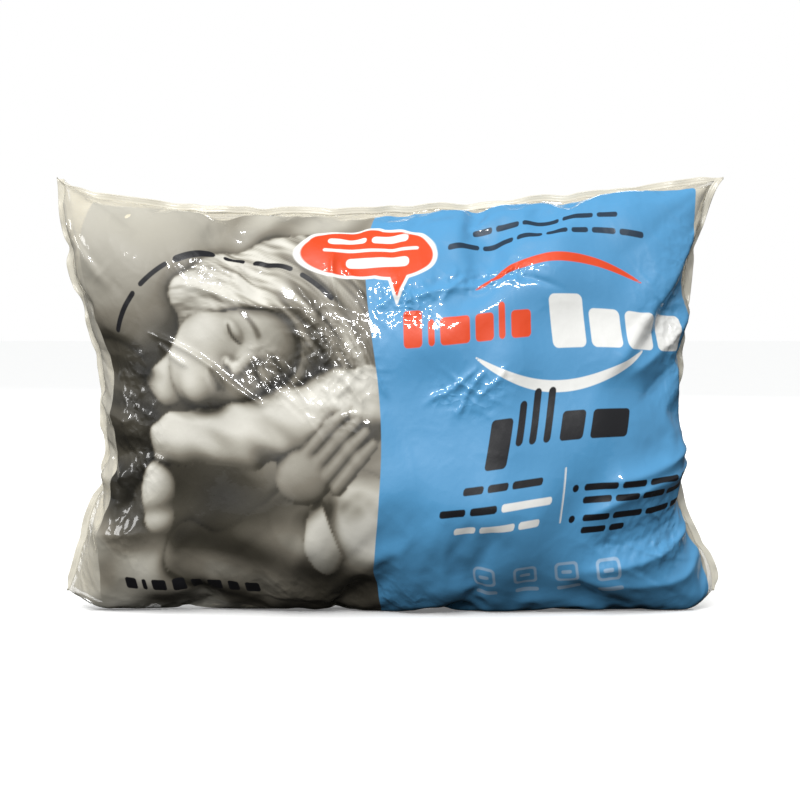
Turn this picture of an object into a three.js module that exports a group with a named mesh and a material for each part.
// A bed pillow in its retail bag, standing on its long edge.
//
// From the outside in: a four-sided film bag (printed front web, clear back web, four weld bands),
// then the sewn ticking (two panels, edge seam, closing seam, care label), then the fibre fill.
// Millimetres, +Z up. The front faces -Y. The origin is on the floor under the middle of the pillow.

import * as THREE from "three";

// ---- Driving dimensions ----------------------------------------------------------------------

const BAG_WIDTH = 720; // across the ears of the bag, weld bands included
const BAG_HEIGHT = 477; // from the floor to the tips of the upper ears
const LOFT = 190; // thickness at the fullest place
const WELD_WIDTH = 8; // width of each heat-sealed band
const FILM = 1.3; // stands for a film of 0.06 mm
const TICKING = 1.4; // stands for a woven ticking of 0.4 mm
const CONTACT_GAP = 0.3; // clearance between pieces that touch

const WAIST = 0.13; // how far the short sides pull in at mid height, as a share of the half width
const TOP_SAG = 36; // how far the top edge dips between its ears
const SLUMP = 42; // how far the bottom would bulge below the floor if it weren't flattened
const ROUNDNESS = 2.2; // power of the crown across each direction
const FULLNESS = 0.58; // how bluntly the crown falls to the edge
const PEAR = 0.22; // how far the fullest place sits below mid height

const TICKING_INSET = 12; // the empty margin of bag outside the pillow
const TICKING_LOFT_INSET = 4;
const SEAM_RADIUS = 1; // the overlocked seam, as a cord between the panels
const SEAM_SWING = 1; // how far the cord's curve may swing past its points where the outline turns
const FILL_INSET = 9; // from the ticking's outline to the fill's

const WELD_HALF_THICKNESS = 0.4;
const CORNER_GAP = 3; // from the end of a side weld up to the top weld, which sags away from the corner
const SEAL_LINE = WELD_HALF_THICKNESS; // half the distance between the two webs at the weld
const BASE_STRIP = 4; // half the width of the bottom weld, which is pressed flat on the floor
const BASE_SPREAD = 0.2; // the share of the half height over which the webs part to clear it

const LABEL_WIDTH_SHARE = 0.14; // how far the care label reaches in from the side seam
const LABEL_FROM = 0.1; // its lower and upper ends, in the skin's own height coordinate
const LABEL_TO = 0.22;
const LABEL_THICKNESS = 0.5;

// ---- The stuffed form ------------------------------------------------------------------------

const HALF_WIDTH = BAG_WIDTH / 2 - WELD_WIDTH;
const TOP = BAG_HEIGHT - WELD_WIDTH;

const crown = (t) => Math.pow(Math.max(0, 1 - Math.pow(Math.abs(t), ROUNDNESS)), FULLNESS);
const ease = (t) => Math.sin((t * Math.PI) / 2); // crowds the grid lines towards the edges

// Half the width of the strip that the bottom weld lies in. It narrows to nothing at the corners.
const baseStrip = (u) => BASE_STRIP * (1 - Math.pow(u, 4));

/**
 * One skin of the form: the outline pulls in between four ears, and the bottom is flat on the floor.
 * u runs from -1 to 1 across, and v from -1 at the bottom seam to 1 at the top seam.
 */
function skin({ inset = 0, loftInset = 0, floor = 0, seam = SEAL_LINE }) {
  return (u, v, side) => {
    const x = u * (HALF_WIDTH - inset) * (1 - WAIST * (1 - v * v));
    const top = TOP - inset - TOP_SAG * (1 - u * u);
    const bottom = inset - SLUMP * (1 - Math.pow(u, 4));
    const z = Math.max(floor, THREE.MathUtils.lerp(bottom, top, (v + 1) / 2));
    const full = crown(u) * crown(v + PEAR * (1 - v * v));
    const parting = Math.pow(Math.max(0, (-v - (1 - BASE_SPREAD)) / BASE_SPREAD), 2);
    const start = seam + (baseStrip(u) + CONTACT_GAP) * parting;
    const y = start + (LOFT / 2 - loftInset - start) * full;
    return new THREE.Vector3(x, side * y, z);
  };
}

// ---- Builders --------------------------------------------------------------------------------

/** Moves every vertex of a unit box to place(x, y, z), each of which runs from -1 to 1. */
function shapedBox(columns, layers, rows, place) {
  const geometry = new THREE.BoxGeometry(2, 2, 2, columns, layers, rows);
  const points = geometry.getAttribute("position");
  for (let i = 0; i < points.count; i++) {
    const p = place(points.getX(i), points.getY(i), points.getZ(i));
    points.setXYZ(i, p.x, p.y, p.z);
  }
  geometry.deleteAttribute("normal");
  geometry.deleteAttribute("uv");
  geometry.computeVertexNormals();
  return geometry;
}

/** A thin shell between two skins on one side of the form, over all of it or over a patch. */
function shell(outer, inner, side, columns, rows, patch = { u: [-1, 1], v: [-1, 1] }) {
  const across = (range, t) => THREE.MathUtils.lerp(range[0], range[1], (t + 1) / 2);
  return shapedBox(columns, 1, rows, (x, y, z) => {
    const u = across(patch.u, ease(x));
    const v = across(patch.v, ease(z));
    return y * side > 0 ? outer(u, v, side) : inner(u, v, side);
  });
}

const SKIN_COLUMNS = 24;
const SKIN_ROWS = 18;

function fabric(name, color, roughness) {
  return new THREE.MeshStandardMaterial({ name, color, roughness, metalness: 0 });
}

const MATERIALS = {
  print: fabric("printed_film", 0x5a9fd4, 0.25),
  clear: fabric("clear_film", 0xe4e2da, 0.2),
  weld: fabric("welded_film", 0xcfccc0, 0.35),
  ticking: fabric("ticking", 0xeee8d6, 0.85),
  thread: fabric("thread", 0xf2efe4, 0.7),
  label: fabric("label", 0xfafaf6, 0.6),
  fibre: fabric("fibre", 0xf7f7f4, 1.0),
};

function piece(name, geometry, material) {
  const mesh = new THREE.Mesh(geometry, material);
  mesh.name = name;
  return mesh;
}

// ---- Bag -------------------------------------------------------------------------------------

const FRONT = -1;
const BACK = 1;

function bagFilm(side) {
  const outer = skin({});
  const inner = skin({ inset: FILM, loftInset: FILM, floor: FILM });
  return shell(outer, inner, side, SKIN_COLUMNS, SKIN_ROWS);
}

/** The band beyond a short side. side is -1 for the left and 1 for the right. */
function sideWeld(side) {
  const edge = skin({});
  return shapedBox(2, 1, SKIN_ROWS, (x, y, z) => {
    const p = edge(side, ease(z), BACK);
    const outward = (side * x + 1) / 2;
    p.x += side * THREE.MathUtils.lerp(CONTACT_GAP, WELD_WIDTH, outward);
    p.y = y * WELD_HALF_THICKNESS;
    p.z = Math.min(p.z, TOP - CORNER_GAP);
    return p;
  });
}

/** The band above the top edge, which also closes both upper corners. */
function topWeld() {
  const edge = skin({});
  return shapedBox(SKIN_COLUMNS, 1, 2, (x, y, z) => {
    const p = edge(ease(x), 1, BACK);
    p.x *= BAG_WIDTH / 2 / HALF_WIDTH;
    p.y = y * WELD_HALF_THICKNESS;
    p.z += THREE.MathUtils.lerp(CONTACT_GAP, WELD_WIDTH, (z + 1) / 2);
    return p;
  });
}

/** The band under the pillow, flat on the floor between the two webs. */
function bottomWeld() {
  const edge = skin({});
  const endHalfWidth = SEAL_LINE - CONTACT_GAP;
  return shapedBox(SKIN_COLUMNS, 2, 1, (x, y, z) => {
    const u = ease(x);
    const p = edge(u, -1, BACK);
    p.x *= 1 - CONTACT_GAP / HALF_WIDTH;
    p.y = y * (endHalfWidth + baseStrip(u));
    p.z = z > 0 ? FILM : 0;
    return p;
  });
}

// ---- Pillow ----------------------------------------------------------------------------------

const TICKING_FLOOR = FILM + CONTACT_GAP;
const TICKING_SEAM = SEAM_RADIUS + CONTACT_GAP + 0.1;
const tickingSkin = { inset: TICKING_INSET, loftInset: TICKING_LOFT_INSET, floor: TICKING_FLOOR, seam: TICKING_SEAM };

function tickingPanel(side) {
  const inner = skin({
    ...tickingSkin,
    inset: TICKING_INSET + TICKING,
    loftInset: TICKING_LOFT_INSET + TICKING,
    floor: TICKING_FLOOR + TICKING,
  });
  return shell(skin(tickingSkin), inner, side, SKIN_COLUMNS, SKIN_ROWS);
}

/** A round cord along the ticking's outline, through the given (u, v) corners. */
function seamCord(corners, stepsPerSide) {
  const edge = skin({
    ...tickingSkin,
    inset: TICKING_INSET + TICKING / 2,
    floor: TICKING_FLOOR + SEAM_RADIUS + SEAM_SWING,
    seam: 0,
  });
  const points = [];
  corners.slice(1).forEach(([u1, v1], i) => {
    const [u0, v0] = corners[i];
    for (let s = i ? 1 : 0; s <= stepsPerSide; s++) {
      const t = s / stepsPerSide;
      const p = edge(THREE.MathUtils.lerp(u0, u1, t), THREE.MathUtils.lerp(v0, v1, t), BACK);
      points.push(p.setY(0));
    }
  });
  const section = new THREE.Shape().absarc(0, 0, SEAM_RADIUS, 0, Math.PI * 2);
  return new THREE.ExtrudeGeometry(section, {
    extrudePath: new THREE.CatmullRomCurve3(points, false, "centripetal"),
    steps: (points.length - 1) * 3,
    curveSegments: 6,
    bevelEnabled: false,
  });
}

const CORNER = 0.985; // the seams stop just short of the corners, where the next one starts

/** The care label, caught in the left side seam and lying on the back panel. */
function careLabel() {
  const room = { inset: TICKING_INSET / 2, loftInset: TICKING_LOFT_INSET / 2, floor: TICKING_FLOOR };
  const under = {
    ...room,
    inset: room.inset + LABEL_THICKNESS,
    loftInset: room.loftInset + LABEL_THICKNESS,
  };
  const patch = { u: [-0.97, -0.97 + LABEL_WIDTH_SHARE], v: [LABEL_FROM, LABEL_TO] };
  return shell(skin(room), skin(under), BACK, 5, 3, patch);
}

/** The loose fibre, as the one mass that the ticking holds. */
function fibreFill() {
  const room = {
    inset: TICKING_INSET + FILL_INSET,
    loftInset: TICKING_LOFT_INSET + TICKING + 1,
    floor: TICKING_FLOOR + 2 * (SEAM_RADIUS + SEAM_SWING) + CONTACT_GAP,
    seam: 0,
  };
  const surface = skin(room);
  return shapedBox(SKIN_COLUMNS, 2, SKIN_ROWS, (x, y, z) => {
    const p = surface(ease(x), ease(z), BACK);
    p.y *= y;
    return p;
  });
}

// ---- Assembly --------------------------------------------------------------------------------

const bag = new THREE.Group();
bag.add(
  piece("bag_front_film", bagFilm(FRONT), MATERIALS.print),
  piece("bag_back_film", bagFilm(BACK), MATERIALS.clear),
  piece("bag_left_weld", sideWeld(-1), MATERIALS.weld),
  piece("bag_right_weld", sideWeld(1), MATERIALS.weld),
  piece("bag_top_weld", topWeld(), MATERIALS.weld),
  piece("bag_bottom_weld", bottomWeld(), MATERIALS.weld),
);

const pillow = new THREE.Group();
const edgeSeamCorners = [
  [1, CORNER],
  [1, 1],
  [-1, 1],
  [-1, -1],
  [1, -1],
];
pillow.add(
  piece("ticking_front_panel", tickingPanel(FRONT), MATERIALS.ticking),
  piece("ticking_back_panel", tickingPanel(BACK), MATERIALS.ticking),
  piece("edge_seam_thread", seamCord(edgeSeamCorners.slice(1), 14), MATERIALS.thread),
  piece("closing_seam_thread", seamCord([[1, -CORNER], [1, CORNER]], 14), MATERIALS.thread),
  piece("care_label", careLabel(), MATERIALS.label),
  piece("fibre_fill", fibreFill(), MATERIALS.fibre),
);

const baggedPillow = new THREE.Group();
baggedPillow.add(bag, pillow);

export default baggedPillow;
